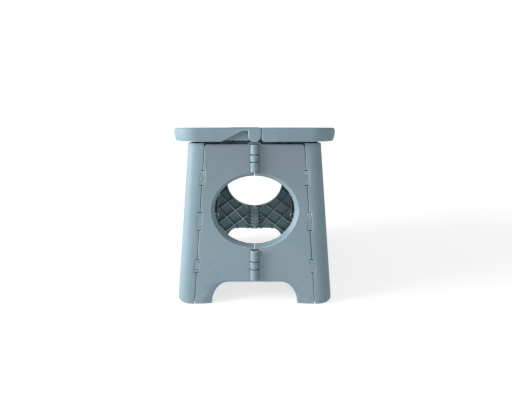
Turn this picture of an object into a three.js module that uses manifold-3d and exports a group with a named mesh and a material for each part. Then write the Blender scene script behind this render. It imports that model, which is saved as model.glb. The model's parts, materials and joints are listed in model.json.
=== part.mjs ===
import * as THREE from 'three';
import { mergeVertices } from 'three/addons/utils/BufferGeometryUtils.js';
import Module from 'manifold-3d';

const wasm = await Module();
wasm.setup();

// Folding step stool in moulded plastic. Millimetres, Z up, X across the folding side,
// Y along the seat. The origin lies on the floor, under the middle of the seat.

// Driving sizes of the whole stool
const seatTop = 219.5;
const seatHalfWidth = 107.6;
const seatHalfLength = 126;
const footSpread = 5;
const footInset = 9.6;
const legDepth = 23.1;
const sideSlope = 0.0545;
const faceSlope = 0.06;

// Clearances
const gap = 0.3;
const runningGap = 0.4;
const endGap = 1;
const openPivotPlay = 1.1;
const overrun = 5;

// Seat leaves
const skirtDepth = 17.8;
const plateThickness = 3;
const skirtWall = 2.4;
const seatCornerRadius = 34;
const skirtDraft = 1.1;
const skirtTuck = 2.7;
const skirtTuckShares = [
  { rise: 0, tuck: 1 },
  { rise: 0.0843, tuck: 0.63 },
  { rise: 0.2697, tuck: 0.222 },
];
const innerCornerRound = 4;
const brimDrop = 5.8;
const edgeRound = 2.2;
const edgeRoundDrop = 1.9;
const leafRibThickness = 2;
const leafRibDepth = 11;
const leafRibSpacing = 36;
const leafRibRunShare = 0.3268;

// Hinge down the middle of the seat
const seatPinDrop = 10.5;
const seatPinRadius = 2;
const seatKnuckleHalf = 7.8;
const seatKnuckleRoom = 1.4;
const endKnuckleLength = 14;
const fingerLength = 21.6;
const seatPinEndWall = 4;
const knuckleWall = 2.2;
const reliefRun = 26.1;
const reliefRise = 13.4;
const reliefStart = 14.2;
const stripThickness = 3.8;
const recessDepth = 6;
const reliefWallRise = 1.6;

// Carrying handle in the left leaf
const gripWidth = 20.8;
const slotWidth = 22;
const slotLength = 88;
const crownHeight = 0.7;
const crownRun = 8;
const crownMargin = 12;
const slotRimDepth = 7;
const gripWall = 2.4;

// Pivots between a leaf and its leg
const pivotInset = 15.8;
const pivotDrop = 10.5;
const pivotRadius = 4;
const pivotPinRadius = 1.8;
const pivotFromEnd = 46;
const earWidth = 11;
const lugWidth = 7;

// Legs
const legClearance = 2.2;
const legWall = 2.4;
const legCornerRadius = 16;
const footRound = 5;
const legTopThickness = 2.4;
const legTopInset = 8;
const footFlange = 12;
const footFlangeThickness = 2.4;
const legRibDepth = 5;
const legRibThickness = 2;
const legRibSpacing = 48;

// Folding panels
const panelClearance = 3.7;
const panelLift = 0.5;
const panelDepth = 9;
const panelPlate = 2.2;
const frameWall = 2;
const steepDepth = 7.5;
const shallowDepth = 7.1;
const latticeThickness = 1.6;
const latticeSpacing = 21;
const steepAngle = 47.4;
const shallowAngle = 36.8;
const seamGap = 0.9;
const splitGap = 0.6;
const topCornerRound = 2.5;

// Round window across both halves of a panel
const windowSideMargin = 17.3;
const windowTopMargin = 40;
const windowBand = 45.1;
const windowBevelSide = 4.2;
const windowBevelTop = 3.5;
const windowBevelDepth = 4.5;
const windowWallDepth = 8.4;

// Arch between the feet of a panel
const archHeight = 26.5;
const archFoot = 21.4;
const archCornerRun = 20.5;
const archBevelSide = 10;
const archBevelTop = 2.4;
const archBevelDepth = 1.5;

// Hinges at the seams between leg and panel
const seamPinRadius = 1.3;
const seamBarrelRadius = 2.8;
const seamAxisDepth = 3;
const seamWeb = 5;
const seamStationShares = [
  { bottom: 0.1934, height: 0.0758 },
  { bottom: 0.4571, height: 0.1081 },
  { bottom: 0.7409, height: 0.0889 },
];
const seamBarrelShare = 0.5;

// Hinges between the two halves of a panel
const splitPinRadius = 1.8;
const splitBarrelRadius = 5.5;
const splitProud = 0.9;
const splitWeb = 4.5;
const splitRing = 1.7;
const pocketWall = 1.8;
const lowerKnuckleShares = { start: 0.0798, outer: 0.2749, inner: 0.1641 };
const upperKnuckleShares = { start: 0.125, outer: 0.295, inner: 0.19 };

// Finish
const shellColour = 0x8fa3ae;
const pinColour = 0x7d929d;
const plasticRoughness = 0.5;

// Worked-out places
const skirtBottom = seatTop - skirtDepth;
const plateBottom = seatTop - plateThickness;
const seatPinHeight = seatTop - seatPinDrop;
const pivotHeight = seatTop - pivotDrop;
const pivotHalf = seatHalfWidth - pivotInset;
const pivotPlace = seatHalfLength - pivotFromEnd;
const leafRoom = seatKnuckleHalf + seatKnuckleRoom;
const footHalfDepth = seatHalfLength + footSpread;
const footHalfWidth = seatHalfWidth - footInset;
const seamHalfWidth = footHalfWidth - legDepth;
const legHeight = skirtBottom - legClearance;
const panelHeight = skirtBottom - panelClearance;
const apexHeight = seamHalfWidth / sideSlope;
const apexDepth = footHalfDepth - seamAxisDepth - faceSlope * apexHeight;

const roundSteps = 12;
const barrelSteps = 8;
const pinSteps = 6;
const cornerSteps = 4;
const curveSteps = 8;

// Solids from three.js geometry, and back
function closed(geometry) {
  return new wasm.Manifold(new wasm.Mesh({
    numProp: 3,
    vertProperties: new Float32Array(geometry.attributes.position.array),
    triVerts: new Uint32Array(geometry.index.array),
  }));
}

function solid(geometry) {
  const bare = geometry.clone();
  bare.deleteAttribute('normal');
  bare.deleteAttribute('uv');
  return closed(mergeVertices(bare));
}

function geometryOf(body) {
  const mesh = body.getMesh();
  const geometry = new THREE.BufferGeometry();
  geometry.setAttribute('position', new THREE.BufferAttribute(mesh.vertProperties, 3));
  geometry.setIndex(new THREE.BufferAttribute(mesh.triVerts, 1));
  geometry.computeVertexNormals();
  return geometry;
}

function join(bodies) {
  return bodies.reduce((whole, body) => whole.add(body));
}

function cut(body, cutters) {
  return cutters.length ? body.subtract(join(cutters)) : body;
}

// A box between two corners
function block(low, high) {
  const size = high.map((value, axis) => value - low[axis]);
  const middle = high.map((value, axis) => (value + low[axis]) / 2);
  return solid(new THREE.BoxGeometry(...size).translate(...middle));
}

// A rod between two points
function rod(from, to, radius, steps = roundSteps) {
  const start = new THREE.Vector3(...from);
  const way = new THREE.Vector3(...to).sub(start);
  const upright = new THREE.Vector3(0, 1, 0);
  const turn = new THREE.Quaternion().setFromUnitVectors(upright, way.clone().normalize());
  const middle = start.addScaledVector(way, 1 / 2);
  const rodGeometry = new THREE.CylinderGeometry(radius, radius, way.length(), steps);
  return solid(rodGeometry.applyQuaternion(turn).translate(middle.x, middle.y, middle.z));
}

// A flat outline drawn in X and Z, pushed along Y
function pushY(points, low, high) {
  const shape = new THREE.Shape(points.map(([x, z]) => new THREE.Vector2(x, z)));
  const geometry = new THREE.ExtrudeGeometry(shape, { depth: high - low, bevelEnabled: false });
  return solid(geometry.rotateX(Math.PI / 2).translate(0, high, 0));
}

// Six times the volume inside a list of triangles, below zero where they face inwards
function inside(points, indices) {
  const corner = (i) => new THREE.Vector3(...points[indices[i]]);
  let total = 0;
  for (let i = 0; i < indices.length; i += 3) {
    total += corner(i).dot(corner(i + 1).cross(corner(i + 2)));
  }
  return total;
}

// A body through matching rings of points, closed at both ends; the two axes are
// the ones that the end faces are seen along
function loft(rings, [across, up] = [0, 1]) {
  const seen = (ring) => ring.map((point) => new THREE.Vector2(point[across], point[up]));
  const clockwise = THREE.ShapeUtils.area(seen(rings[0])) < 0;
  const ordered = clockwise ? rings.map((ring) => [...ring].reverse()) : rings;
  const count = rings[0].length;
  const last = (rings.length - 1) * count;
  const indices = [];
  THREE.ShapeUtils.triangulateShape(seen(ordered[0]), []).forEach(([a, b, c]) => {
    indices.push(c, b, a, last + a, last + b, last + c);
  });
  for (let start = 0; start < last; start += count) {
    for (let i = 0; i < count; i += 1) {
      const here = start + i;
      const next = start + ((i + 1) % count);
      indices.push(here, next, next + count, here, next + count, here + count);
    }
  }
  const points = ordered.flat();
  if (inside(points, indices) < 0) {
    indices.reverse();
  }
  const geometry = new THREE.BufferGeometry();
  geometry.setAttribute('position', new THREE.Float32BufferAttribute(points.flat(), 3));
  geometry.setIndex(indices);
  return solid(geometry);
}

// Points along a quarter turn, from one angle to the next
function arc(centre, radii, from, to, steps) {
  return Array.from({ length: steps + 1 }, (_, i) => {
    const angle = from + ((to - from) * i) / steps;
    return [centre[0] + radii[0] * Math.cos(angle), centre[1] + radii[1] * Math.sin(angle)];
  });
}

// Moves each point of a body by a rule
function moved(body, rule) {
  const geometry = geometryOf(body);
  const { position } = geometry.attributes;
  for (let i = 0; i < position.count; i += 1) {
    position.setXYZ(i, ...rule(position.getX(i), position.getY(i), position.getZ(i)));
  }
  return geometry;
}

// A body seen in a mirror that stands across X or across Y
function mirrored(body, [turnX, turnY]) {
  const geometry = moved(body, (x, y, z) => [x * turnX, y * turnY, z]);
  geometry.index.array.reverse();
  return closed(geometry);
}

const acrossX = [-1, 1];
const acrossY = [1, -1];

// Where the slanted faces and axes run
const faceAt = (z) => footHalfDepth - faceSlope * z;
const seamAt = (z) => seamHalfWidth - sideSlope * z;
const windowHalfHeight = (panelHeight - windowTopMargin - windowBand - archHeight) / 2;
const windowHeight = archHeight + windowBand + windowHalfHeight;
const windowHalfWidth = seamAt(windowHeight) - windowSideMargin;
const archHalfWidth = seamHalfWidth - archFoot;
const seamPoint = (z) => [seamAt(z), -(faceAt(z) - seamAxisDepth), z];
function splitPoint(z) {
  const floor = footHalfDepth + splitProud;
  return [0, -(floor + ((apexDepth - floor) * z) / apexHeight), z];
}

// Legs and panels are drawn upright and then leant: sides in, faces in
const leant = (body) => closed(moved(body, (x, y, z) => [
  x - Math.sign(x) * sideSlope * z,
  (y * faceAt(z)) / footHalfDepth,
  z,
]));

// Right leg, drawn upright
function legRing(inset, edge, z, drawIn = 0) {
  const outer = footHalfWidth - inset - drawIn;
  const depth = footHalfDepth - inset;
  const radius = Math.min(legCornerRadius - inset, outer - seamHalfWidth - seamGap);
  const corner = [outer - radius, depth - radius];
  return [
    [edge, -depth],
    ...arc([corner[0], -corner[1]], [radius, radius], -Math.PI / 2, 0, cornerSteps),
    ...arc(corner, [radius, radius], 0, Math.PI / 2, cornerSteps),
    [edge, depth],
  ].map(([x, y]) => [x, y, z]);
}

function footRings(edge) {
  return [0, 1 / 3, 2 / 3].map((share) => {
    const angle = (share * Math.PI) / 2;
    return legRing(0, edge, footRound * (1 - Math.cos(angle)), footRound * (1 - Math.sin(angle)));
  });
}

function legShell() {
  const edge = seamHalfWidth + seamGap / 2;
  const outside = loft([...footRings(edge), legRing(0, edge, footRound), legRing(0, edge, legHeight)]);
  const ceiling = legHeight - legTopThickness;
  const inside = loft([
    legRing(legWall, edge - overrun, footFlangeThickness, footRound / 4),
    legRing(legWall, edge - overrun, ceiling),
  ]);
  const floorHole = block(
    [edge - overrun, -footHalfDepth + footFlange, -overrun],
    [footHalfWidth - footFlange, footHalfDepth - footFlange, footFlangeThickness + overrun],
  );
  const wallDepth = footHalfDepth - legWall;
  const ceilingHole = block(
    [edge - overrun, -wallDepth, ceiling - overrun],
    [edge + legTopInset, wallDepth, legHeight + overrun],
  );
  const flangeHole = block(
    [edge - overrun, -wallDepth, -overrun],
    [edge + legTopInset, wallDepth, footFlangeThickness + overrun],
  );
  return cut(outside, [inside, floorHole, ceilingHole, flangeHole]);
}

function legRibs() {
  const wall = footHalfWidth - legWall;
  const count = Math.floor((2 * (footHalfDepth - legCornerRadius)) / legRibSpacing);
  return Array.from({ length: count }, (_, i) => {
    const y = (i - (count - 1) / 2) * legRibSpacing;
    return block(
      [wall - legRibDepth, y - legRibThickness / 2, footFlangeThickness - gap],
      [wall + gap, y + legRibThickness / 2, legHeight - legTopThickness + gap],
    );
  });
}

// Ear that carries the leaf's pivot, outside the top of the leg
function ear(place) {
  const outer = footHalfWidth - sideSlope * legHeight;
  const root = outer - 2 * legWall;
  const low = legHeight - legTopThickness;
  const radii = [pivotRadius, pivotRadius];
  const round = arc([pivotHalf, pivotHeight], radii, -Math.PI * 3 / 4, Math.PI, barrelSteps);
  const arm = pushY([
    [root, low],
    [outer - legWall, low],
    [outer - legWall / 2, legHeight - legTopThickness / 2],
    ...round,
    [root, legHeight + gap],
  ], place - earWidth / 2, place + earWidth / 2);
  return arm.subtract(pivotRod(place, pivotPinRadius + gap, overrun));
}

function pivotRod(place, radius, spare) {
  const half = earWidth / 2 + lugWidth + spare;
  const end = (y) => [pivotHalf, y, pivotHeight];
  return rod(end(place - half), end(place + half), radius, barrelSteps);
}

const seamStations = seamStationShares.map((share) => ({
  bottom: share.bottom * panelHeight,
  height: share.height * panelHeight,
}));

// One hinge station on the seam, split into lug, barrel and lug
function stationSpans({ bottom, height }) {
  const barrel = height * seamBarrelShare;
  const lug = (height - barrel) / 2;
  return {
    lugs: [[bottom, bottom + lug - runningGap], [bottom + height - lug + runningGap, bottom + height]],
    barrel: [bottom + lug, bottom + height - lug],
    whole: [bottom, bottom + height],
  };
}

// Box round the front right seam axis between two heights, given from and to along X and Y
function seamBox([low, high], [fromX, toX], [fromY, toY]) {
  const ring = (z) => {
    const [x, y] = seamPoint(z);
    const corners = [[fromX, fromY], [toX, fromY], [toX, toY], [fromX, toY]];
    return corners.map(([acrossSeam, throughSeam]) => [x + acrossSeam, y + throughSeam, z]);
  };
  return loft([ring(low), ring(high)]);
}

const seamRod = ([low, high], radius) => rod(seamPoint(low), seamPoint(high), radius, pinSteps);

// A hinge eye: an outline round an axis, kept between two heights and bored for the pin
function eye([low, high], pointAt, outline, bore) {
  const ring = (z) => {
    const [x, y] = pointAt(z);
    return outline.map(([across, deep]) => [x + across, y + deep, z]);
  };
  return loft([ring(low), ring(high)]).subtract(bore([low - overrun, high + overrun]));
}

const seamBore = (heights) => seamRod(heights, seamPinRadius + gap);

// Round behind, square in front, so that the hinge closes the seam seen from outside
function seamEye(span, web) {
  const nose = -Math.sign(web) * seamBarrelRadius;
  const round = arc([0, 0], [nose, seamBarrelRadius], Math.PI / 2, 0, barrelSteps / 2);
  const front = [nose, web].map((across) => [across, -seamBarrelRadius]);
  return eye(span, seamPoint, [...round, ...front, [web, seamBarrelRadius]], seamBore);
}

const longer = ([low, high], spare) => [low - spare, high + spare];

function seamNotch(span) {
  const reach = seamBarrelRadius + runningGap;
  return seamBox(longer(span, endGap), [-reach, reach], [-seamAxisDepth - overrun, panelDepth + overrun]);
}

function rightLeg() {
  const shell = leant(join([legShell(), ...legRibs()]));
  const seams = seamStations.map(stationSpans);
  const notches = seams.map(({ whole }) => seamNotch(whole));
  const lugs = seams.flatMap(({ lugs: spans }) => spans.map((span) => seamEye(span, seamWeb)));
  const both = (bodies) => [...bodies, ...bodies.map((body) => mirrored(body, acrossY))];
  const ears = [-pivotPlace, pivotPlace].map(ear);
  const open = cut(shell, both(notches));
  return join([open, ...both(lugs), ...ears]);
}

// Outline of one panel half, drawn for the right side in X and Z
function halfOutline(inset) {
  const split = splitGap / 2 + inset;
  const seam = (z) => seamAt(z) - seamGap / 2 - inset;
  const top = panelHeight - inset;
  const low = panelLift + inset;
  return [
    [split, low],
    [seam(low), low],
    [seam(top), top - topCornerRound],
    [seam(top) - topCornerRound, top],
    [split, top],
  ];
}

function ellipse(halfWidth, halfHeight) {
  return arc([0, windowHeight], [halfWidth, halfHeight], 0, 2 * Math.PI, 4 * curveSteps).slice(0, -1);
}

function archLine(halfWidth, flatHalf, height) {
  const curve = arc([flatHalf, 0], [halfWidth - flatHalf, height], 0, Math.PI / 2, curveSteps);
  const left = curve.map(([x, z]) => [-x, z]).reverse();
  return [[halfWidth, -overrun], ...curve, ...left, [-halfWidth, -overrun]];
}

// Points in X and Z put at a depth behind the slanted outer face
const onFace = (points, depth) => points.map(([x, z]) => [x, depth - faceAt(z), z]);

function faceLoft(rings) {
  return loft(rings.map(([points, depth]) => onFace(points, depth)), [0, 2]);
}

// Cutter with a bevelled mouth; the bevel runs on past the face
function bevelled(outline, bevelDepth) {
  const mouth = outline((bevelDepth + gap) / bevelDepth);
  return faceLoft([[mouth, -gap], [outline(0), bevelDepth], [outline(0), panelDepth + overrun]]);
}

function windowCut() {
  return bevelled((share) => ellipse(
    windowHalfWidth + windowBevelSide * share,
    windowHalfHeight + windowBevelTop * share,
  ), windowBevelDepth);
}

// Wall round the window on the inner side, wide where the bevel runs into it
function windowWall() {
  const wide = [windowBevelSide, windowBevelTop].map((bevel) => bevel + frameWall);
  return faceLoft([
    [ellipse(windowHalfWidth + wide[0], windowHalfHeight + wide[1]), panelPlate - gap],
    [ellipse(windowHalfWidth + frameWall, windowHalfHeight + frameWall), windowWallDepth],
  ]);
}

function archCut() {
  return bevelled((share) => archLine(
    archHalfWidth + archBevelSide * share,
    archHalfWidth - archCornerRun,
    archHeight + archBevelTop * share,
  ), archBevelDepth);
}

// Crossed ribs on the inner side of a half, one family at a time
function ribFamily(angle, start, depth) {
  const turn = (angle * Math.PI) / 180;
  const along = [Math.cos(turn), Math.sin(turn)];
  const across = [-along[1], along[0]];
  const reach = panelHeight;
  const count = Math.ceil(reach / latticeSpacing);
  const half = latticeThickness / 2;
  const corner = (far, side, offset) => [
    start[0] + along[0] * far + across[0] * (offset + side),
    start[1] + along[1] * far + across[1] * (offset + side),
  ];
  return Array.from({ length: 2 * count + 1 }, (_, i) => {
    const offset = (i - count) * latticeSpacing;
    const points = [[-reach, -half], [reach, -half], [reach, half], [-reach, half]];
    const outline = points.map(([far, side]) => corner(far, side, offset));
    return faceLoft([[outline, panelPlate - gap], [outline, depth]]);
  });
}

function halfShell() {
  const whole = faceLoft([[halfOutline(0), 0], [halfOutline(0), panelDepth]]);
  const opening = halfOutline(frameWall);
  const hollow = faceLoft([[opening, panelPlate], [opening, panelDepth + overrun]]);
  const crossing = [0, windowHeight];
  const ribs = join([
    ...ribFamily(steepAngle, crossing, steepDepth),
    ...ribFamily(-shallowAngle, crossing, shallowDepth),
  ]);
  const inner = faceLoft([[halfOutline(frameWall / 2), 0], [halfOutline(frameWall / 2), panelDepth]]);
  return join([whole.subtract(hollow), ribs.intersect(inner), windowWall().intersect(whole)]);
}

// Knuckle groups in the plain bands above the arch and above the window
const splitGroups = [
  [lowerKnuckleShares, archHeight, windowBand],
  [upperKnuckleShares, panelHeight - windowTopMargin, windowTopMargin],
].map(([share, from, room]) => ({
  bottom: from + share.start * room,
  outer: share.outer * room,
  inner: share.inner * room,
}));

function knuckleSpans({ bottom, outer, inner }) {
  const first = [bottom, bottom + outer];
  const second = [first[1] + splitRing, first[1] + splitRing + inner];
  const third = [second[1] + splitRing, second[1] + splitRing + outer];
  return { outers: [first, third], inners: [second], whole: [first[0], third[1]] };
}

const splitRod = ([low, high], radius) => rod(splitPoint(low), splitPoint(high), radius, pinSteps);
const splitBore = (heights) => splitRod(heights, splitPinRadius + gap);

// Barrel that stands out of the panel's face, with a web behind the face
function knuckle(span) {
  const radii = [splitBarrelRadius, splitBarrelRadius];
  const from = Math.asin(splitProud / splitBarrelRadius);
  const to = Math.asin(splitWeb / splitBarrelRadius) - 2 * Math.PI;
  const round = arc([0, 0], radii, from, to, roundSteps);
  const reach = splitBarrelRadius + splitWeb;
  return eye(span, splitPoint, [[reach, splitProud], ...round, [reach, splitWeb]], splitBore);
}

// Block across the split, from one depth behind the face to another
function splitBlock(span, [fromX, toX], [shallow, deep]) {
  const ring = (z) => onFace([[fromX, z], [toX, z]], shallow).concat(onFace([[toX, z], [fromX, z]], deep));
  return loft(span.map(ring));
}

const knuckleReach = splitBarrelRadius + runningGap;

function knuckleNotch(span) {
  const depths = [-splitBarrelRadius - overrun, knuckleReach];
  return splitBlock(longer(span, endGap), [-knuckleReach, knuckleReach], depths);
}

// Material behind the plate that the knuckles' pocket is sunk into
function pocket(span) {
  const sides = [splitGap / 2, knuckleReach + pocketWall];
  const depths = [panelPlate - gap, knuckleReach + pocketWall];
  return splitBlock(longer(span, endGap + pocketWall), sides, depths);
}

// Half of a front panel, drawn on the right; own names the knuckles that it carries
function panelHalf(own) {
  const groups = splitGroups.map(knuckleSpans);
  const seams = seamStations.map(stationSpans);
  const pockets = groups.map(({ whole }) => pocket(whole));
  const shell = cut(join([halfShell(), ...pockets]), [windowCut(), archCut()]);
  const seamRoom = seams.map(({ whole }) => seamNotch(whole));
  const splitRoom = groups.map(({ whole }) => knuckleNotch(whole));
  const open = cut(shell, [...seamRoom, ...splitRoom]);
  const barrels = seams.map(({ barrel }) => seamEye(barrel, -seamWeb));
  const knuckles = groups.flatMap((group) => group[own].map(knuckle));
  return join([open, ...barrels, ...knuckles]);
}

// Ring round a leaf, drawn for the left side: outer corners round, straight at the middle
function leafRing(inset, edge, z, tuck = 0) {
  const width = seatHalfWidth - inset - tuck;
  const length = seatHalfLength - inset;
  const radius = seatCornerRadius - inset;
  const centre = [width - radius, length - radius];
  const steps = 2 * cornerSteps;
  return [
    [edge, -length],
    ...arc([-centre[0], -centre[1]], [radius, radius], -Math.PI / 2, -Math.PI, steps),
    ...arc([-centre[0], centre[1]], [radius, radius], Math.PI, Math.PI / 2, steps),
    [edge, length],
  ].map(([x, y]) => [x, y, z]);
}

// Rings up the skirt from the rim; spare lengthens the lowest one downwards
function skirtRings(inset, edge, spare) {
  return skirtTuckShares.map((share, index) => {
    const rise = skirtDepth * share.rise;
    const draft = skirtDraft * (1 - rise / (skirtDepth - brimDrop));
    const z = skirtBottom + rise - (index ? 0 : spare);
    return leafRing(inset + draft, edge, z, skirtTuck * share.tuck);
  });
}

function leafOutside(edge) {
  return loft([
    ...skirtRings(0, edge, 0),
    leafRing(0, edge, seatTop - brimDrop),
    leafRing(edgeRound / 4, edge, seatTop - edgeRoundDrop),
    leafRing(edgeRound, edge, seatTop),
  ]);
}

function leafShell(edge, innerEdge) {
  return leafOutside(edge).subtract(loft([
    ...skirtRings(skirtWall, innerEdge, gap),
    leafRing(skirtWall, innerEdge, seatTop - brimDrop),
    leafRing(skirtWall, innerEdge, plateBottom),
  ]));
}

// Ribs under a leaf, drawn for the left side; runs is how many follow the one on the leg
function leafRibs(runs) {
  const low = plateBottom - leafRibDepth;
  const half = leafRibThickness / 2;
  const end = seatHalfLength - skirtWall;
  const legEdge = seamAt(legHeight) + legTopInset + footFlange / 2;
  const rests = block([-legEdge - half, -end, legHeight + gap], [-legEdge + half, end, plateBottom + gap]);
  const along = Array.from({ length: runs }, (_, i) => {
    const x = -legEdge * (1 - leafRibRunShare * (i + 1));
    return block([x - half, -end, low], [x + half, end, plateBottom + gap]);
  });
  const count = Math.floor(end / leafRibSpacing);
  const crossing = Array.from({ length: 2 * count + 1 }, (_, i) => {
    const y = (i - count) * leafRibSpacing;
    const from = -legEdge - half;
    const to = -legEdge * (1 - leafRibRunShare * runs) + half;
    return block([from, y - half, low], [to, y + half, plateBottom + gap]);
  });
  const inner = loft([
    ...skirtRings(skirtWall / 2, 0, 0),
    leafRing(skirtWall / 2, 0, seatTop - brimDrop),
    leafRing(skirtWall / 2, 0, seatTop - plateThickness / 2),
  ]);
  return join([rests, ...along, ...crossing]).intersect(inner);
}

// Lugs on both sides of an ear, drawn for the left leaf
function leafLugs(place) {
  return [-1, 1].map((side) => {
    const from = place + side * (earWidth / 2 + runningGap);
    const to = place + side * (earWidth / 2 + lugWidth);
    const [low, high] = [Math.min(from, to), Math.max(from, to)];
    const radii = [pivotRadius, pivotRadius];
    const round = arc([-pivotHalf, pivotHeight], radii, Math.PI, 2 * Math.PI, barrelSteps);
    const top = plateBottom + gap;
    const shape = [...round, [-pivotHalf + pivotRadius, top], [-pivotHalf - pivotRadius, top]];
    const lug = pushY(shape, low, high);
    return lug.subtract(mirrored(pivotRod(place, pivotPinRadius + gap, overrun), acrossX));
  });
}

// Round-bottomed knuckle round the seat's hinge line, between two places along Y
function seatKnuckle(low, high, half = seatKnuckleHalf, top = plateBottom + gap) {
  const bottom = arc([0, seatPinHeight], [half, half], Math.PI, 2 * Math.PI, barrelSteps);
  return pushY([...bottom, [half, top], [-half, top]], low, high);
}

const endStart = seatHalfLength - endKnuckleLength;
const fingerStart = endStart - fingerLength;
const innerStart = fingerStart - fingerLength;

function bothEnds(make) {
  return [make(1), make(-1)];
}

function span(side, low, high) {
  return side > 0 ? [low, high] : [-high, -low];
}

// Strip of the plate that joins a knuckle to its own leaf
function tongue([low, high], from, to) {
  return block([from, low, seatTop - stripThickness], [to, high, seatTop]);
}

function seatPinRod(side, radius, spare) {
  const shift = seatPinEndWall - spare;
  const [low, high] = span(side, innerStart + shift, seatHalfLength - shift);
  return rod([0, low, seatPinHeight], [0, high, seatPinHeight], radius, barrelSteps);
}

// Triangle cut from the left skirt, where the right leaf's skirt comes in
function relief(side) {
  const rise = plateBottom - gap;
  const points = [
    [-reliefStart - reliefRun - overrun * (reliefRun / reliefRise), rise - reliefRise - overrun],
    [seatKnuckleHalf + overrun, rise - reliefRise - overrun],
    [seatKnuckleHalf + overrun, rise],
    [-reliefStart, rise],
  ];
  const [low, high] = span(side, seatHalfLength - recessDepth, seatHalfLength + overrun);
  return pushY(points, low, high);
}

// Wall that closes the leaf behind the cut in its skirt
function reliefWall(side) {
  const from = -reliefStart - reliefRun - overrun;
  const low = skirtBottom + reliefWallRise;
  const high = plateBottom + gap;
  const to = -seatKnuckleHalf + gap;
  const points = [[from, low], [to, low], [to, high], [from, high]];
  const place = seatHalfLength - recessDepth;
  return pushY(points, ...span(side, place - skirtWall, place));
}

function rounded(low, high, radius) {
  const at = (x, y, from) => arc([x, y], [radius, radius], from, from + Math.PI / 2, cornerSteps);
  return [
    ...at(high[0] - radius, high[1] - radius, 0),
    ...at(low[0] + radius, high[1] - radius, Math.PI / 2),
    ...at(low[0] + radius, low[1] + radius, Math.PI),
    ...at(high[0] - radius, low[1] + radius, -Math.PI / 2),
  ];
}

const slotEdge = seatKnuckleHalf - gripWidth;
const crownHalf = slotLength / 2 + crownMargin;

function crown() {
  const ring = (inset, z) => rounded(
    [slotEdge - slotWidth - crownMargin / 2 + inset, -crownHalf + inset],
    [seatKnuckleHalf - inset / 2, crownHalf - inset],
    crownMargin,
  ).map(([x, y]) => [x, y, z]);
  return loft([
    ring(0, plateBottom + gap),
    ring(0, seatTop),
    ring(crownRun / 3, seatTop + crownHeight * 2 / 3),
    ring(crownRun, seatTop + crownHeight),
  ]);
}

function slotRing(grow, z) {
  const radius = slotWidth / 3 + grow;
  return rounded(
    [slotEdge - slotWidth - grow, -slotLength / 2 - grow],
    [slotEdge + grow, slotLength / 2 + grow],
    radius,
  ).map(([x, y]) => [x, y, z]);
}

function handleSlot() {
  const mouth = seatTop + crownHeight;
  return loft([
    slotRing(0, skirtBottom),
    slotRing(0, mouth - edgeRound),
    slotRing(edgeRound, mouth + gap),
  ]);
}

function slotRim() {
  const low = plateBottom - slotRimDepth;
  const ring = loft([slotRing(gripWall, low), slotRing(gripWall, plateBottom + gap)]);
  const away = block(
    [slotEdge, -slotLength, skirtBottom],
    [seatKnuckleHalf + gripWall, slotLength, plateBottom - gap],
  );
  return ring.subtract(away);
}

function grip() {
  const half = slotLength / 2 + crownMargin;
  const outer = seatKnuckle(-half, half);
  const channel = block(
    [-seatKnuckleHalf + gripWall, -half + gripWall, skirtBottom - overrun],
    [seatKnuckleHalf - gripWall, half - gripWall, plateBottom - gripWall],
  );
  return outer.subtract(channel);
}

function leftLeaf() {
  const fingerRoom = bothEnds((side) => {
    const [low, high] = span(side, fingerStart - runningGap, endStart + runningGap);
    return block([-leafRoom, low, skirtBottom - overrun], [leafRoom, high, seatTop + overrun]);
  });
  const ownKnuckles = [
    ...bothEnds((side) => seatKnuckle(...span(side, endStart, seatHalfLength))),
    ...bothEnds((side) => seatKnuckle(...span(side, innerStart, fingerStart - runningGap))),
  ];
  const ends = bothEnds((side) => span(side, endStart, seatHalfLength));
  const tongues = ends.map((end) => tongue(end, -leafRoom * 2, seatKnuckleHalf));
  const atEdge = join([...tongues, ...ownKnuckles]).intersect(leafOutside(seatKnuckleHalf));
  const shell = cut(leafShell(seatKnuckleHalf, seatKnuckleHalf + overrun), bothEnds(relief));
  const solidParts = [
    shell,
    atEdge,
    leafRibs(1),
    crown(),
    grip(),
    slotRim(),
    ...bothEnds(reliefWall),
    ...[-pivotPlace, pivotPlace].flatMap(leafLugs),
  ];
  const pinBores = bothEnds((side) => seatPinRod(side, seatPinRadius + gap, gap));
  return cut(join(solidParts), [handleSlot(), ...fingerRoom, ...pinBores]);
}

// Rounds the lower corner of a leaf where it faces the other one
function innerCorner(edge) {
  const radius = innerCornerRound;
  const centre = [edge - radius, skirtBottom + radius];
  return pushY([
    [centre[0], skirtBottom - overrun],
    [edge + overrun, skirtBottom - overrun],
    [edge + overrun, centre[1]],
    ...arc(centre, [radius, radius], 0, -Math.PI / 2, cornerSteps),
  ], -seatHalfLength - overrun, seatHalfLength + overrun);
}

// Room in the inner wall for the other leaf's recessed wall, when the stool is folded
function wallRoom(side, edge) {
  const place = seatHalfLength - recessDepth;
  const [low, high] = span(side, place - skirtWall - endGap, place + runningGap);
  return block(
    [edge - skirtWall - gap, low, skirtBottom - overrun],
    [edge + gap, high, plateBottom - knuckleWall],
  );
}

// The right leaf is drawn on the left and mirrored at the end
function rightLeaf() {
  const edge = -leafRoom;
  const fingers = bothEnds((side) => {
    const spot = span(side, fingerStart + runningGap, endStart - runningGap);
    return seatKnuckle(...spot, seatKnuckleHalf, seatTop)
      .add(tongue(spot, edge - skirtWall, seatKnuckleHalf))
      .add(block([edge - gap, spot[0], seatPinHeight - knuckleWall], [0, spot[1], plateBottom + gap]));
  });
  const parts = [
    leafShell(edge, edge - skirtWall).subtract(innerCorner(edge)),
    leafRibs(2),
    ...fingers,
    ...[-pivotPlace, pivotPlace].flatMap(leafLugs),
  ];
  const pinBores = bothEnds((side) => seatPinRod(side, seatPinRadius + gap + openPivotPlay, gap));
  const rooms = bothEnds((side) => wallRoom(side, edge));
  return mirrored(cut(join(parts), [...pinBores, ...rooms]), acrossX);
}

// The stool
const stool = new THREE.Group();

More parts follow.
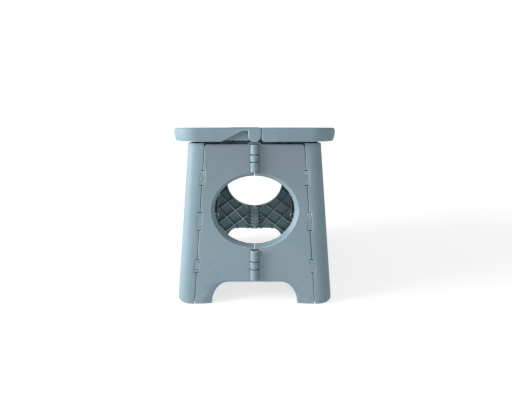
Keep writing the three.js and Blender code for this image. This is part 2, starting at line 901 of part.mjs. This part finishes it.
function place(name, body, colour = shellColour) {
  const look = { color: colour, roughness: plasticRoughness, metalness: 0 };
  const material = new THREE.MeshStandardMaterial(look);
  const mesh = new THREE.Mesh(geometryOf(body), material);
  mesh.name = name;
  stool.add(mesh);
}

const leg = rightLeg();
place('leg_right', leg);
place('leg_left', mirrored(leg, acrossX));
place('seat_leaf_left', leftLeaf());
place('seat_leaf_right', rightLeaf());

const halves = {
  right: panelHalf('outers'),
  left: mirrored(panelHalf('inners'), acrossX),
};
Object.entries(halves).forEach(([side, half]) => {
  place(`front_panel_${side}`, half);
  place(`back_panel_${side}`, mirrored(half, acrossY));
});

// Pins
const heights = ['lower', 'middle', 'upper'];
const sides = { left: acrossX, right: null };
const faces = { front: null, back: acrossY };
const turnedTo = (body, ways) => ways.filter(Boolean).reduce((turned, way) => mirrored(turned, way), body);

Object.entries(faces).forEach(([face, faceWay]) => {
  seamStations.forEach((station, index) => {
    const pin = seamRod(stationSpans(station).whole, seamPinRadius);
    Object.entries(sides).forEach(([side, sideWay]) => {
      place(`seam_pin_${face}_${side}_${heights[index]}`, turnedTo(pin, [faceWay, sideWay]), pinColour);
    });
  });
  splitGroups.forEach((group, index) => {
    const { whole } = knuckleSpans(group);
    const pin = splitRod([whole[0] + seatPinEndWall, whole[1] - seatPinEndWall], splitPinRadius);
    place(`panel_pin_${face}_${['lower', 'upper'][index]}`, turnedTo(pin, [faceWay]), pinColour);
  });
  const spot = face === 'front' ? -1 : 1;
  place(`seat_pin_${face}`, seatPinRod(spot, seatPinRadius, 0), pinColour);
  Object.entries(sides).forEach(([side, sideWay]) => {
    const pin = pivotRod(spot * pivotPlace, pivotPinRadius, 0);
    place(`leg_pin_${face}_${side}`, turnedTo(pin, [sideWay]), pinColour);
  });
});

export default stool;
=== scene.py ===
# %% [markdown]
# # A folding step stool in blue-grey moulded plastic
#
# This lesson dresses a stool whose solids come from a CAD model. Two seat leaves lie on two
# leaning legs. On the two short sides a panel in two halves closes the space between the legs,
# with a round window and an arch between the feet. All of it folds flat when the seat is
# lifted.
#
# The solids give places and sizes. Blender adds what moulded plastic shows: softened edges,
# sink marks over the ribs, a fine grain, round pins, and light.

# %% The tools and the solids
import json
import math

import bmesh
import bpy
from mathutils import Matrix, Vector

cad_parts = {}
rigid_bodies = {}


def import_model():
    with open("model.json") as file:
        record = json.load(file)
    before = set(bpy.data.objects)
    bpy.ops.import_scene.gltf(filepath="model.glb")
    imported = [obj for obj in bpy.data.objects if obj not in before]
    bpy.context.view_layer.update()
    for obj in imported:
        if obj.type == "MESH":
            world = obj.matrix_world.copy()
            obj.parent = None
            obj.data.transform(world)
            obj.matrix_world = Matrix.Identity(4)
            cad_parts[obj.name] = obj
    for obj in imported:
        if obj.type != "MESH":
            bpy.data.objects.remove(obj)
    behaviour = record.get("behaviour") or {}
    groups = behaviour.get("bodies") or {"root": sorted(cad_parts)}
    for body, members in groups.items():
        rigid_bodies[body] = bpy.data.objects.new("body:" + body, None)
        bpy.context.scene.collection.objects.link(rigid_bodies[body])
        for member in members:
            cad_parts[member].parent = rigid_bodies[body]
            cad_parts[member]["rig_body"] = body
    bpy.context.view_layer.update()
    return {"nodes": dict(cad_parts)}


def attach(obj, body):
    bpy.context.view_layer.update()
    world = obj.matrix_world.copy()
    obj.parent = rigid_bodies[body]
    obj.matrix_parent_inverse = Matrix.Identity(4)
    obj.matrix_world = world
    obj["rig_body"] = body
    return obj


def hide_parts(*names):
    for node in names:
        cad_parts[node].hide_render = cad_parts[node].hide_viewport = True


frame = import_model()
nodes = frame["nodes"]

# %% [markdown]
# ## The camera
#
# The photograph looks level along the seat's length, from about the height of the seat, so the
# top is seen on edge and the floor between the feet is hidden. The lens and the distance follow
# from how much smaller the far side looks than the near one through the round window. The
# object sits low in the picture while the camera stays level, so the sensor is shifted and
# the camera isn't tilted, which keeps upright lines upright.

# %% The camera stands level with the seat
camera_distance = 0.6064
camera_height = 0.2203
picture = (512, 400)
pixels_per_unit = 382.0
axis_in_picture = (254.6, 127.0)

camera = bpy.data.objects.new("camera", bpy.data.cameras.new("camera"))
bpy.context.scene.collection.objects.link(camera)
bpy.context.scene.camera = camera
camera.location = (0.0, -camera_distance, camera_height)
camera.rotation_euler = (math.radians(90.0), 0.0, 0.0)
camera.data.sensor_width = 36.0
camera.data.lens = camera.data.sensor_width * pixels_per_unit / picture[0]
camera.data.shift_x = (picture[0] / 2 - axis_in_picture[0]) / picture[0]
camera.data.shift_y = (axis_in_picture[1] - picture[1] / 2) / picture[0]
camera.data.clip_start = 0.01
print("lens:", round(camera.data.lens, 2), "mm, shift:", round(camera.data.shift_y, 3))

# %% [markdown]
# ## Shader maths that reads like maths
#
# A material is a graph of nodes. Written out node by node, even a stripe takes a page. Here one
# class wraps a node's output and gives it Python's operators, so that an expression on values
# adds the Math nodes that it means. The reflected forms let a plain number come first, as in
# `1 - mask`.

# %% Flow wraps an output
class Flow:
    def __init__(self, finish, socket):
        self.finish = finish
        self.socket = socket

    def math(self, operation, *values):
        return self.finish.math(operation, self, *values)

    def __add__(self, other):
        return self.math("ADD", other)

    def __sub__(self, other):
        return self.math("SUBTRACT", other)

    def __rsub__(self, other):
        return self.finish.math("SUBTRACT", other, self)

    def __mul__(self, other):
        return self.math("MULTIPLY", other)

    __radd__ = __add__
    __rmul__ = __mul__

    def size(self):
        return self.math("ABSOLUTE")

    def greater(self, other):
        return self.math("MAXIMUM", other)

    def wrapped(self, length):
        return self.math("WRAP", length / 2, -length / 2)

    def ramp(self, start, end, low=0.0, high=1.0):
        settings = {"interpolation_type": "SMOOTHSTEP"}
        inputs = {0: self, 1: start, 2: end, 3: low, 4: high}
        return self.finish.node("ShaderNodeMapRange", settings, inputs)


print("Flow can:", [name for name in vars(Flow) if not name.startswith("_")])

# %% [markdown]
# Every other node comes from one method of the material itself. It sets the node's own choices
# first, because they decide what its sockets are, and then the sockets. Colours go through Mix
# nodes, because a Math node would turn them grey.

# %% Finish wraps a material
class Finish:
    def __init__(self, name):
        self.material = bpy.data.materials.new(name)
        self.material.use_nodes = True
        self.tree = self.material.node_tree
        self.tree.nodes.clear()
        shader = self.node("ShaderNodeBsdfPrincipled")
        self.surface = shader.socket.node
        self.node("ShaderNodeOutputMaterial", {}, {"Surface": shader}, out=None)

    def feed(self, socket, value):
        if isinstance(value, Flow):
            self.tree.links.new(value.socket, socket)
        else:
            socket.default_value = value

    def node(self, kind, settings=None, inputs=None, out=0):
        made = self.tree.nodes.new(kind)
        for name, value in (settings or {}).items():
            setattr(made, name, value)
        for name, value in (inputs or {}).items():
            self.feed(made.inputs[name], value)
        return None if out is None else Flow(self, made.outputs[out])

    def set(self, **sockets):
        for name, value in sockets.items():
            self.feed(self.surface.inputs[name.replace("_", " ")], value)

    def math(self, operation, *values):
        return self.node("ShaderNodeMath", {"operation": operation}, dict(enumerate(values)))

    def place(self):
        return self.node("ShaderNodeTexCoord", out="Object")

    def along(self, place):
        apart = self.node("ShaderNodeSeparateXYZ", {}, {0: place}).socket.node
        return [Flow(self, output) for output in apart.outputs]

    def noise(self, place, scale, detail=2.0, roughness=0.5):
        inputs = {"Vector": place, "Scale": scale, "Detail": detail, "Roughness": roughness}
        return self.node("ShaderNodeTexNoise", {}, inputs, out="Fac")

    def mix(self, share, first, second):
        inputs = {0: share, 6: first, 7: second}
        return self.node("ShaderNodeMix", {"data_type": "RGBA"}, inputs, out=2)

    def bump(self, height, depth, strength=1.0):
        inputs = {"Height": height, "Distance": depth, "Strength": strength}
        return self.node("ShaderNodeBump", {}, inputs)


print("Finish can:", [name for name in vars(Finish) if not name.startswith("_")])

# %% [markdown]
# ## Moulded plastic
#
# The stool is coloured polypropylene, straight from a spark-eroded mould. Its skin has a fine
# grain, a satin gloss that varies a little where the melt flowed, and a faint unevenness in
# tone. A flat colour would look like a render; two noises of very different size are enough to
# make it look like a moulding. The panels also get a painted shade that makes them a little
# darker towards the top, under the seat.

# %% Colours
def linear(*levels):
    return tuple(((level / 255 + 0.055) / 1.055) ** 2.4 for level in levels) + (1.0,)


body_colour = linear(104, 122, 131)
body_colour_deep = linear(99, 117, 125)
# painted highlight: the strips along softened edges are painted lighter than the plastic
edge_highlight_colour = linear(160, 176, 185)
pin_colour = linear(97, 114, 123)
# painted highlight: rib tops far lighter than the plastic, so the ribs show as light lines
rib_top_highlight_colour = linear(212, 234, 236)
# painted light: the pockets are a lighter copy of the plastic, for light that reaches the inner
# side
pocket_lit_colour = linear(126, 156, 158)
pocket_lit_colour_deep = linear(113, 144, 146)
panel_colour = linear(110, 125, 131)
# painted shade: the colour of the panels' upper part, darker than the lower part
panel_top_shade_colour = linear(98, 111, 118)
# painted shade: the window's bevel is a slightly darker copy of the plastic
rim_shade_colour = linear(100, 116, 124)
# painted shade: the strips behind the seams are painted dark, as the shade in the slit
slit_shade_colour = linear(58, 68, 73)
print("body colour:", [round(level, 3) for level in body_colour])

# %% Plain plastic with its clouds and its grain
cloud_scale = 16.0
cloud_gloss = 0.12
grain_scale = 1700.0
grain_gloss = 0.08
grain_depth = 0.00006
# painted shade: between these heights the panels turn darker towards the top
top_shade_between = (0.05, 0.19)
top_shade_waver = 0.03
refraction = 1.49
shine = 0.12


def moulded(name, light, deep, gloss=0.47, high=None):
    finish = Finish(name)
    place = finish.place()
    cloud = finish.noise(place, cloud_scale, 3.0)
    grain = finish.noise(place, grain_scale, 2.0, 0.6)
    colour = finish.mix(cloud.ramp(0.3, 0.7), deep, light)
    # painted shade: higher up, the colour turns towards the darker one
    if high:
        up = finish.along(place)[2] + (cloud - 0.5) * top_shade_waver
        colour = finish.mix(up.ramp(*top_shade_between), colour, high)
    finish.set(Base_Color=colour,
               Roughness=gloss + (cloud - 0.5) * cloud_gloss + (grain - 0.5) * grain_gloss,
               IOR=refraction, Specular_IOR_Level=shine)
    return finish, place, grain


def plain_plastic(name, light, deep, gloss=0.47):
    finish, place, grain = moulded(name, light, deep, gloss)
    finish.set(Normal=finish.bump(grain, grain_depth, 0.35))
    return finish.material


body_finish = plain_plastic("moulded_plastic", body_colour, body_colour_deep)
# the edge strips' finish is a painted highlight
edge_highlight_finish = plain_plastic("painted_highlight_edge", edge_highlight_colour, body_colour, 0.38)
pin_finish = plain_plastic("pin_plastic", pin_colour, body_colour_deep, 0.4)
rib_top_highlight_finish = plain_plastic("painted_highlight_rib_tops", rib_top_highlight_colour, body_colour, 0.4)
pocket_lit_finish = plain_plastic("painted_light_pockets", pocket_lit_colour, pocket_lit_colour_deep, 0.6)
rim_shade_finish = plain_plastic("window_rim_painted_shade", rim_shade_colour, body_colour, 0.42)
slit_shade_finish = plain_plastic("painted_shade_slit", slit_shade_colour, slit_shade_colour, 0.7)
print("nodes in a plain finish:", len(body_finish.node_tree.nodes))

# %% [markdown]
# ## Sink marks
#
# Over the ribs on the inner side the plastic sinks as it cools. On the panels this shows
# outside as a faint net of diamonds. It could be modelled in the mesh, but the sinks are a few
# hundredths of a millimetre deep, so a bump from the same two families of lines does it better.

# %% The panel's face, with the net of ribs in its bump
rib_spacing = 0.021
rib_angles = (47.4, -36.8)
window_middle = 0.1148
sink_half_width = 0.0022
sink_depth = 0.00012
grain_share = 0.02


def panel_plastic(name, light, deep, high):
    finish, place, grain = moulded(name, light, deep, high=high)
    across, _, up = finish.along(place)
    net = None
    for angle in rib_angles:
        turn = math.radians(angle)
        offset = (up - window_middle) * math.cos(turn) - across.size() * math.sin(turn)
        line = offset.wrapped(rib_spacing).size().ramp(0.0, sink_half_width, 1.0, 0.0)
        net = line if net is None else net.greater(line)
    finish.set(Normal=finish.bump(grain * grain_share - net, sink_depth, 0.8))
    return finish.material


face_finish = panel_plastic("panel_face_over_ribs", panel_colour, body_colour, panel_top_shade_colour)
print("nodes in the panel's face:", len(face_finish.node_tree.nodes))

# %% [markdown]
# ## From solids to mouldings
#
# No edge of a moulding is sharp: the tool's cutter leaves a small radius, and that radius
# catches the light as a thin bright line. The solids have none, because it would cost faces.
# The edges could be rounded by a Bevel modifier, but it treats every edge alike. In bmesh each
# edge can be looked at first: outer edges get a wide radius, thin ribs a small one, and inner
# corners none. The strips get the second material, a little glossier and painted lighter as a
# highlight.
#
# A solid arrives as triangles, so the flat ones are joined to whole faces before this, or the
# bevel would also follow the diagonals.

# %% Whole faces and softened edges
close = 0.00012
flat_turn = math.radians(0.7)
sharp_turn = math.radians(35.0)
body_slot, edge_slot, face_slot, rib_top_highlight_slot, pocket_lit_slot, rim_shade_slot = range(6)


def whole_faces(node):
    mesh = bmesh.new()
    mesh.from_mesh(nodes[node].data)
    bmesh.ops.remove_doubles(mesh, verts=mesh.verts, dist=close / 10)
    bmesh.ops.dissolve_limit(mesh, angle_limit=flat_turn, verts=mesh.verts, edges=mesh.edges)
    bmesh.ops.dissolve_degenerate(mesh, dist=close, edges=mesh.edges)
    return mesh


def outer_corner(edge):
    return edge.is_manifold and edge.is_convex and edge.calc_face_angle(0.0) > sharp_turn


def soften(mesh, choose, radius, steps):
    chosen = [edge for edge in mesh.edges if outer_corner(edge) and choose(edge)]
    bmesh.ops.bevel(mesh, geom=chosen, offset=radius, offset_type="OFFSET", segments=steps,
                    profile=0.5, affect="EDGES", clamp_overlap=False, material=edge_slot,
                    loop_slide=True)
    return len(chosen)


print("softened: outer corners that turn more than", round(math.degrees(sharp_turn)), "degrees")

# %% [markdown]
# A mesh becomes a piece once it is linked, has its materials, and rides on one of the stool's
# bodies. A moulding also stands for its solid from then on.

# %% A piece, and a moulding made from a solid
def as_piece(name, mesh, body, materials):
    piece = bpy.data.objects.new(name, bpy.data.meshes.new(name))
    mesh.to_mesh(piece.data)
    mesh.free()
    for material in materials:
        piece.data.materials.append(material)
    bpy.context.scene.collection.objects.link(piece)
    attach(piece, body)
    return piece


def moulding(name, node, body, rules, materials, paint=None):
    mesh = whole_faces(node)
    counts = [soften(mesh, *rule) for rule in rules]
    if paint:
        paint(mesh)
    bmesh.ops.triangulate(mesh, faces=[face for face in mesh.faces if len(face.verts) > 4])
    for face in mesh.faces:
        face.smooth = True
    for edge in mesh.edges:
        edge.smooth = edge.calc_face_angle(0.0) < sharp_turn
    piece = as_piece(name, mesh, body, materials)
    even = piece.modifiers.new("even_shading", "WEIGHTED_NORMAL")
    even.keep_sharp = True
    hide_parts(node)
    print(name, "edges softened:", counts, "faces:", len(piece.data.polygons))


# %% [markdown]
# ## The two legs
#
# Each leg is a tall, thin-walled shell, open towards the middle, with round upright corners and
# a foot drawn in at the floor. Lugs along both open edges take the pins of the panels, and two
# ears on top carry the seat. The leaning walls need no new shape, only their edges.

# %% Legs
leg_radius = 0.00035
leg_rules = [(lambda edge: True, leg_radius, 2)]
for side in ("left", "right"):
    moulding(f"leg_shell_{side}", f"leg_{side}", f"leg_{side}", leg_rules,
             [body_finish, edge_highlight_finish])

# %% [markdown]
# ## Lips behind the seams
#
# Between leg and panel runs a slit. On the real stool it looks dark, because the leg's edge
# turns in a little behind it and stops the light. A thin strip does that here, painted dark as
# the shade in the slit. It lies in the quarter on the leg's side of the hinge line that the
# turning panel never enters, and it stops at each hinge, where the panel's barrels turn.
#
# The sides of the stool lean, so the strips are boxes that lean with them: a corner is named by
# its place across, its height and its depth behind the panel's face.

# %% Leaning boxes
face_slope = 0.06
foot_depth = 0.131
box_sides = ((0, 1, 3, 2), (4, 6, 7, 5), (0, 4, 5, 1), (2, 3, 7, 6), (0, 2, 6, 4), (1, 5, 7, 3))


def leaning_box(mesh, way, side, across, up, depths, side_slope=0.0):
    def corner(x, z, depth):
        return side * (x - side_slope * z), way * (foot_depth - face_slope * z - depth), z

    corners = [mesh.verts.new(corner(x, z, depth)) for x in across for z in up for depth in depths]
    for ring in box_sides:
        mesh.faces.new([corners[i] for i in ring])


def boxed_piece(name, mesh, body, rounding, materials):
    bmesh.ops.recalc_face_normals(mesh, faces=mesh.faces)
    bmesh.ops.bevel(mesh, geom=list(mesh.edges), offset=rounding, segments=1, affect="EDGES",
                    material=edge_slot)
    return as_piece(name, mesh, body, materials)


print("the face leans by", round(math.degrees(math.atan(face_slope)), 2), "degrees")

# %% A strip behind each length of seam
leg_slope = 0.0545
seam_half = 0.0749
lip_across = (seam_half - 0.0003, seam_half + 0.0016)
lip_depths = (0.0018, 0.0028)
lip_heights = ((0.0030, 0.0379), (0.0537, 0.0908), (0.1116, 0.1463), (0.1647, 0.1965))
lip_rounding = 0.0001

for side_name, side in (("left", -1), ("right", 1)):
    strips = bmesh.new()
    for way in (-1, 1):
        for up in lip_heights:
            leaning_box(strips, way, side, lip_across, up, lip_depths, leg_slope)
    # the strips are painted dark, as shade
    lips = boxed_piece(f"seam_lips_{side_name}", strips, f"leg_{side_name}", lip_rounding,
                       [slit_shade_finish, slit_shade_finish])
    print(lips.name, "faces:", len(lips.data.polygons))

# %% [markdown]
# ## The four panel halves
#
# A panel half is a flat plate with a frame and a net of ribs behind it. Half of the round
# window and half of the arch are cut from it. Along the split it carries thick knuckles, and
# along the seam small barrels that sit between the leg's lugs.
#
# One finish all over would hide how the inner side is built. The tops of the ribs get a painted
# highlight, much lighter than the plastic, and the pockets between them a duller copy painted
# lighter, as light that reaches inside; the window's bevel gets a painted shade, a little darker.
# So each face is asked where it lies and which way it looks, and gets its own finish. Only the
# outer plate gets the one with the sink marks.

# %% Where an edge or a point of a panel lies
face_skin = 0.0004
floor_skin = 0.0008
split_reach = 0.0085
knuckle_half = 0.0062
window_half_height = 0.049
split_skin = 0.0003


def behind_face(point):
    return foot_depth - face_slope * point.z - abs(point.y)


def on_outer_face(edge):
    return all(behind_face(vert.co) < face_skin for vert in edge.verts)


def beside_split(edge):
    return any(abs(vert.co.x) < split_reach for vert in edge.verts)


def on_floor(edge):
    return all(vert.co.z < floor_skin for vert in edge.verts)


def on_knuckle(edge):
    return all(abs(vert.co.x) < knuckle_half and behind_face(vert.co) < -face_skin
               for vert in edge.verts)


def by_window(point):
    return abs(point.z - window_middle) < window_half_height and abs(point.x) > split_skin


print("window's height:", round(2 * window_half_height, 4), "around", window_middle)

# %% Finishes by place
plate_skin = 0.0003
pocket_depth = 0.001
rib_top_depth = 0.0065


def finish_slot(face):
    middle = face.calc_center_median()
    inward = -math.copysign(1.0, middle.y) * face.normal.y
    depth = behind_face(middle)
    if abs(depth) < plate_skin:
        return face_slot
    if inward > 0.9 and depth > pocket_depth:
        # rib tops get a painted highlight, pockets a copy of the plastic painted lighter
        return rib_top_highlight_slot if depth > rib_top_depth else pocket_lit_slot
    # the window's bevel gets a painted shade
    if -0.9 < inward < -0.3 and depth > plate_skin and by_window(middle):
        return rim_shade_slot
    return body_slot


def paint_panel(mesh):
    for face in mesh.faces:
        if face.material_index == body_slot:
            face.material_index = finish_slot(face)


panel_finishes = [body_finish, edge_highlight_finish, face_finish, rib_top_highlight_finish, pocket_lit_finish, rim_shade_finish]
print("finishes on a panel:", [material.name for material in panel_finishes])

# %% Panel halves
outline_radius = 0.00045
split_radius = 0.00008
knuckle_radius = 0.00035
rib_radius = 0.0002


def on_outline(edge):
    return on_outer_face(edge) and not beside_split(edge) and not on_floor(edge)


def on_split(edge):
    return on_outer_face(edge) and beside_split(edge) and not on_knuckle(edge)


panel_rules = [
    (on_outline, outline_radius, 2),
    (on_split, split_radius, 1),
    (on_knuckle, knuckle_radius, 2),
    (lambda edge: not on_outer_face(edge), rib_radius, 1),
]
for face_name in ("front", "back"):
    for side in ("left", "right"):
        moulding(f"panel_half_{face_name}_{side}", f"{face_name}_panel_{side}",
                 f"{face_name}_{side}", panel_rules, panel_finishes, paint_panel)

# %% [markdown]
# ## Little ribs behind the split
#
# Behind the knuckles the real panel is stiffened by a ladder of small ribs with deep pockets
# between them, seen through the window on the far side. They carry nothing by themselves and
# would cost the solids many faces, so they are made here, rung by rung, as leaning boxes.

# %% Ladders on the inner side of each half
ladder_reaches = ((0.0290, 0.0690), (0.1610, 0.1950))
ladder_pitch = 0.0062
ladder_wall = 0.0012
ladder_depths = (0.0020, 0.0098)
ladder_span = (0.0016, 0.0128)
stile_spacing = 0.0052
stile_drop = 0.0002
ladder_rounding = 0.00015


def ladder(face_name, side_name):
    way = -1 if face_name == "front" else 1
    side = -1 if side_name == "left" else 1
    stile_depths = (ladder_depths[0], ladder_depths[1] - stile_drop)
    mesh = bmesh.new()
    for low, high in ladder_reaches:
        rungs = int((high - low) / ladder_pitch)
        for number in range(rungs + 1):
            foot = low + number * (high - low - ladder_wall) / rungs
            leaning_box(mesh, way, side, ladder_span, (foot, foot + ladder_wall), ladder_depths)
        for edge_x in (ladder_span[1], ladder_span[1] - stile_spacing):
            leaning_box(mesh, way, side, (edge_x - ladder_wall, edge_x), (low, high), stile_depths)
    # the rungs take the pockets' painted light, their rounded edges the rib tops' painted highlight
    return boxed_piece(f"hinge_ladder_{face_name}_{side_name}", mesh, f"{face_name}_{side_name}",
                       ladder_rounding, [pocket_lit_finish, rib_top_highlight_finish])


ladders = [ladder(face_name, side) for face_name in ("front", "back") for side in ("left", "right")]
print("ladders:", len(ladders), "faces each:", len(ladders[0].data.polygons))

# %% [markdown]
# ## The seat leaves
#
# The left leaf carries the handle slot and its raised crown, the right one the fingers that
# reach into it. From the side a leaf is a deep skirt, widest a little below the top, with a
# soft upper edge and a bright line along the bottom where the skirt's rim turns in; that line
# is partly light on the rounded rim and partly the strips' painted highlight.

# %% Leaves
skirt_bottom = 0.2017
end_face = 0.1254
brim = 0.2168
skirt_radius = 0.0009
leaf_radius = 0.0004


def on_skirt_rim(edge):
    return all(vert.co.z < skirt_bottom + face_skin for vert in edge.verts)


def on_end_face(edge):
    return all(abs(vert.co.y) > end_face and vert.co.z < brim for vert in edge.verts)


def on_skirt(edge):
    return on_skirt_rim(edge) or on_end_face(edge)


leaf_rules = [
    (on_skirt, skirt_radius, 3),
    (lambda edge: not on_skirt(edge), leaf_radius, 2),
]
for side in ("left", "right"):
    moulding(f"seat_{side}", f"seat_leaf_{side}", f"leaf_{side}", leaf_rules,
             [body_finish, edge_highlight_finish])

# %% [markdown]
# ## Gussets beside the seat's end knuckles
#
# Next to each end knuckle a narrow gap runs into the seat. A small web between the right leaf's
# wall and its first finger closes it to the eye. Its lower corner is cut off, so that it
# clears the left leaf when the seat folds up.

# %% One web at each end of the right leaf
gusset_outline = ((0.0068, 0.2036), (0.0082, 0.2036), (0.0098, 0.2060), (0.0098, 0.2120),
                  (0.0068, 0.2120))
gusset_along = (0.1095, 0.1111)
gusset_rounding = 0.0001

webs = bmesh.new()
for way in (-1, 1):
    outer, inner = [[webs.verts.new((x, way * y, z)) for x, z in gusset_outline]
                    for y in gusset_along]
    webs.faces.new(outer)
    webs.faces.new(inner)
    for i, first in enumerate(outer):
        after = (i + 1) % len(gusset_outline)
        webs.faces.new((first, outer[after], inner[after], inner[i]))
gussets = boxed_piece("finger_gussets", webs, "leaf_right", gusset_rounding,
                      [body_finish, body_finish])
print(gussets.name, "faces:", len(gussets.data.polygons))

# %% [markdown]
# ## The pins
#
# Every hinge turns on a moulded pin with a rounded end. A pin is a turned shape, so it is spun
# here from a short profile, with many more sides than the solid has. Its place, length and
# width are measured from the solid: the corners at one end give that end's middle, and with the
# middle of all corners this gives the pin's line.

# %% Where a pin lies
solid_sides = 16


def pin_line(node):
    points = [vert.co.copy() for vert in nodes[node].data.vertices]
    middle = sum(points, Vector()) / len(points)
    far = max(points, key=lambda point: (point - middle).length)
    reach = (far - middle).length
    tip = [point for point in points if (point - far).length < reach]
    end = sum(tip, Vector()) / len(tip)
    way = (end - middle).normalized()
    corner = max((point - middle - way * (point - middle).dot(way)).length for point in points)
    return middle, way, (end - middle).length, corner * math.cos(math.pi / solid_sides)


print("seat pin, half length and radius:", [round(x, 4) for x in pin_line("seat_pin_front")[2:]])

# %% Pins turned from a profile
pin_sides = 24
tip_share = 0.3
corner_share = 0.3


def turned_pin(node):
    middle, way, half, radius = pin_line(node)
    tip = radius * tip_share
    corner = tip * corner_share
    end_profile = [(half - tip, radius), (half - corner, radius - corner), (half, radius - tip),
                   (half, 0.0)]
    profile = [(-place, out) for place, out in reversed(end_profile)] + end_profile
    across = way.orthogonal().normalized()
    mesh = bmesh.new()
    line = [mesh.verts.new(middle + way * place + across * out) for place, out in profile]
    edges = [mesh.edges.new(pair) for pair in zip(line, line[1:])]
    bmesh.ops.spin(mesh, geom=line + edges, cent=middle, axis=way, angle=2 * math.pi,
                   steps=pin_sides, use_duplicate=False)
    bmesh.ops.remove_doubles(mesh, verts=mesh.verts, dist=1e-6)
    bmesh.ops.recalc_face_normals(mesh, faces=mesh.faces)
    for face in mesh.faces:
        face.smooth = True
    piece = as_piece("turned_" + node, mesh, nodes[node]["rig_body"], [pin_finish])
    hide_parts(node)
    return piece


pins = [turned_pin(node) for node in sorted(nodes) if "_pin_" in node]
print("pins:", len(pins))

# %% [markdown]
# ## Floor and wall
#
# The photograph was taken on white, with soft light all round, also from below. A light table
# gives that: a large pale floor that glows a little and runs up into a wall on every side, so
# there is no horizon from any direction. It could be a plane and a box, but their corner would
# show as a line. Here one line is drawn from the middle outwards and up, and turned once round.

# %% A glowing floor that runs up into a wall all round
floor_tones = ((0.28, 0.28, 0.28, 1.0), (0.31, 0.31, 0.31, 1.0))
floor_glow = 0.72
flat_reach = 2.3
bend_radius = 0.8
bend_steps = 12
wall_height = 3.0
wall_sides = 64


def floor_material():
    floor = Finish("pale_floor")
    tone = floor.noise(floor.place(), 3.0)
    floor.set(Base_Color=floor.mix(tone.ramp(0.2, 0.8), *floor_tones), Roughness=0.8,
              Emission_Color=(1.0, 1.0, 1.0, 1.0), Emission_Strength=floor_glow)
    return floor.material


def backdrop_line():
    bend = [math.pi / 2 * i / bend_steps for i in range(bend_steps + 1)]
    turn = [(flat_reach + bend_radius * math.sin(a), bend_radius * (1 - math.cos(a))) for a in bend]
    return [(0.3, 0.0), *turn, (flat_reach + bend_radius, wall_height)]


def backdrop():
    line = backdrop_line()
    turns = [2 * math.pi * i / wall_sides for i in range(wall_sides)]
    points = [(0.0, 0.0, 0.0)]
    points += [(out * math.cos(a), out * math.sin(a), up) for out, up in line for a in turns]
    following = [(i, (i + 1) % wall_sides) for i in range(wall_sides)]
    faces = [(0, 1 + i, 1 + after) for i, after in following]
    for ring in range(len(line) - 1):
        low = 1 + wall_sides * ring
        high = low + wall_sides
        faces += [(low + i, high + i, high + after, low + after) for i, after in following]
    mesh = bpy.data.meshes.new("backdrop")
    mesh.from_pydata(points, [], faces)
    for face in mesh.polygons:
        face.use_smooth = True
    mesh.materials.append(floor_material())
    sheet = bpy.data.objects.new("backdrop", mesh)
    bpy.context.scene.collection.objects.link(sheet)
    return sheet


print("backdrop faces:", len(backdrop().data.polygons))

# %% [markdown]
# ## Lamps
#
# The main light of the photograph comes from the left and a little from in front, so the left
# leg is bright and the right one dark. Two soft lamps stand on the left, two weak ones in
# front, and one lights the wall behind. The world stays black, because the glowing floor and
# the wall fill in instead. White has to come out as white, so the picture is shown without a
# film look.

# %% Five soft lamps
def lamp(name, place, aim, size, power):
    light = bpy.data.lights.new(name, "AREA")
    light.shape = "SQUARE"
    light.size = size
    light.energy = power
    holder = bpy.data.objects.new(name, light)
    holder.location = place
    holder.rotation_euler = (Vector(aim) - Vector(place)).to_track_quat("-Z", "Y").to_euler()
    bpy.context.scene.collection.objects.link(holder)
    return holder


stool_middle = (0.0, 0.0, 0.12)
lamps = [
    lamp("key_left", (-1.6, -0.6, 0.7), stool_middle, 0.8, 50.0),
    lamp("side_left", (-1.6, -0.35, 0.3), stool_middle, 0.6, 20.0),
    lamp("front_low", (-0.15, -1.9, 0.36), stool_middle, 0.5, 2.5),
    lamp("front_high", (-0.4, -1.3, 1.5), stool_middle, 0.8, 4.0),
    lamp("wall_glow", (0.0, 1.7, 2.0), (0.0, 3.1, 1.0), 1.8, 19.0),
]
print("lamps:", [holder.name for holder in lamps])

# %% A dark world, and white that stays white
world = bpy.data.worlds.new("studio")
bpy.context.scene.world = world
world.use_nodes = True
world.node_tree.nodes["Background"].inputs["Strength"].default_value = 0.0
bpy.context.scene.view_settings.view_transform = "Standard"
print("view transform:", bpy.context.scene.view_settings.view_transform)
